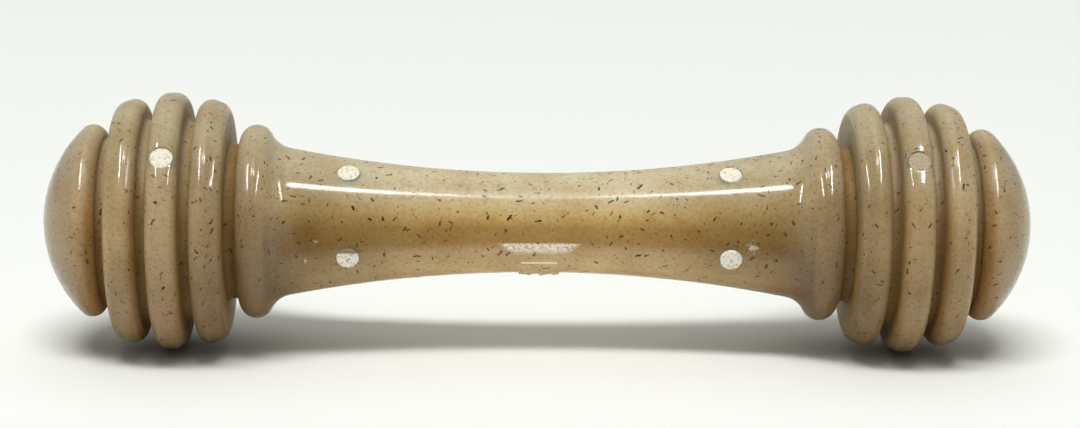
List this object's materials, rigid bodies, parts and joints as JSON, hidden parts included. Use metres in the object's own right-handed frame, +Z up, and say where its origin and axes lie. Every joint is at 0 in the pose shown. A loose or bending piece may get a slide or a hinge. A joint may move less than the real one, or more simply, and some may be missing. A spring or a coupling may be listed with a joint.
{
  "type": "chew bone",
  "caption": "Nylon chew bone: a waisted grip between ribbed, dome-tipped knobs, held together by shouldered stems and dowel pins.",
  "frame": {"origin": "on the floor below the middle of the bone, at the bottom centre of its box", "axes": "+X along the bone to the picture's right, +Y away from the camera, +Z up; the bone lies on its two middle ribs"},
  "size_m": [0.1776, 0.0462, 0.0462],
  "materials": {
    "flecked_nylon": "glossy moulded nylon, tan and slightly see-through, with short dark fibre flecks",
    "pin_nylon": "the same nylon, cut flat and paler on its end faces"
  },
  "bodies": {
    "root": {"grip": "flecked_nylon", "left_knob": "flecked_nylon", "right_knob": "flecked_nylon", "left_stem": "flecked_nylon", "right_stem": "flecked_nylon", "left_upper_grip_pin": "pin_nylon", "left_lower_grip_pin": "pin_nylon", "right_upper_grip_pin": "pin_nylon", "right_lower_grip_pin": "pin_nylon", "left_knob_pin": "pin_nylon", "right_knob_pin": "pin_nylon"}
  },
  "joints": []
}
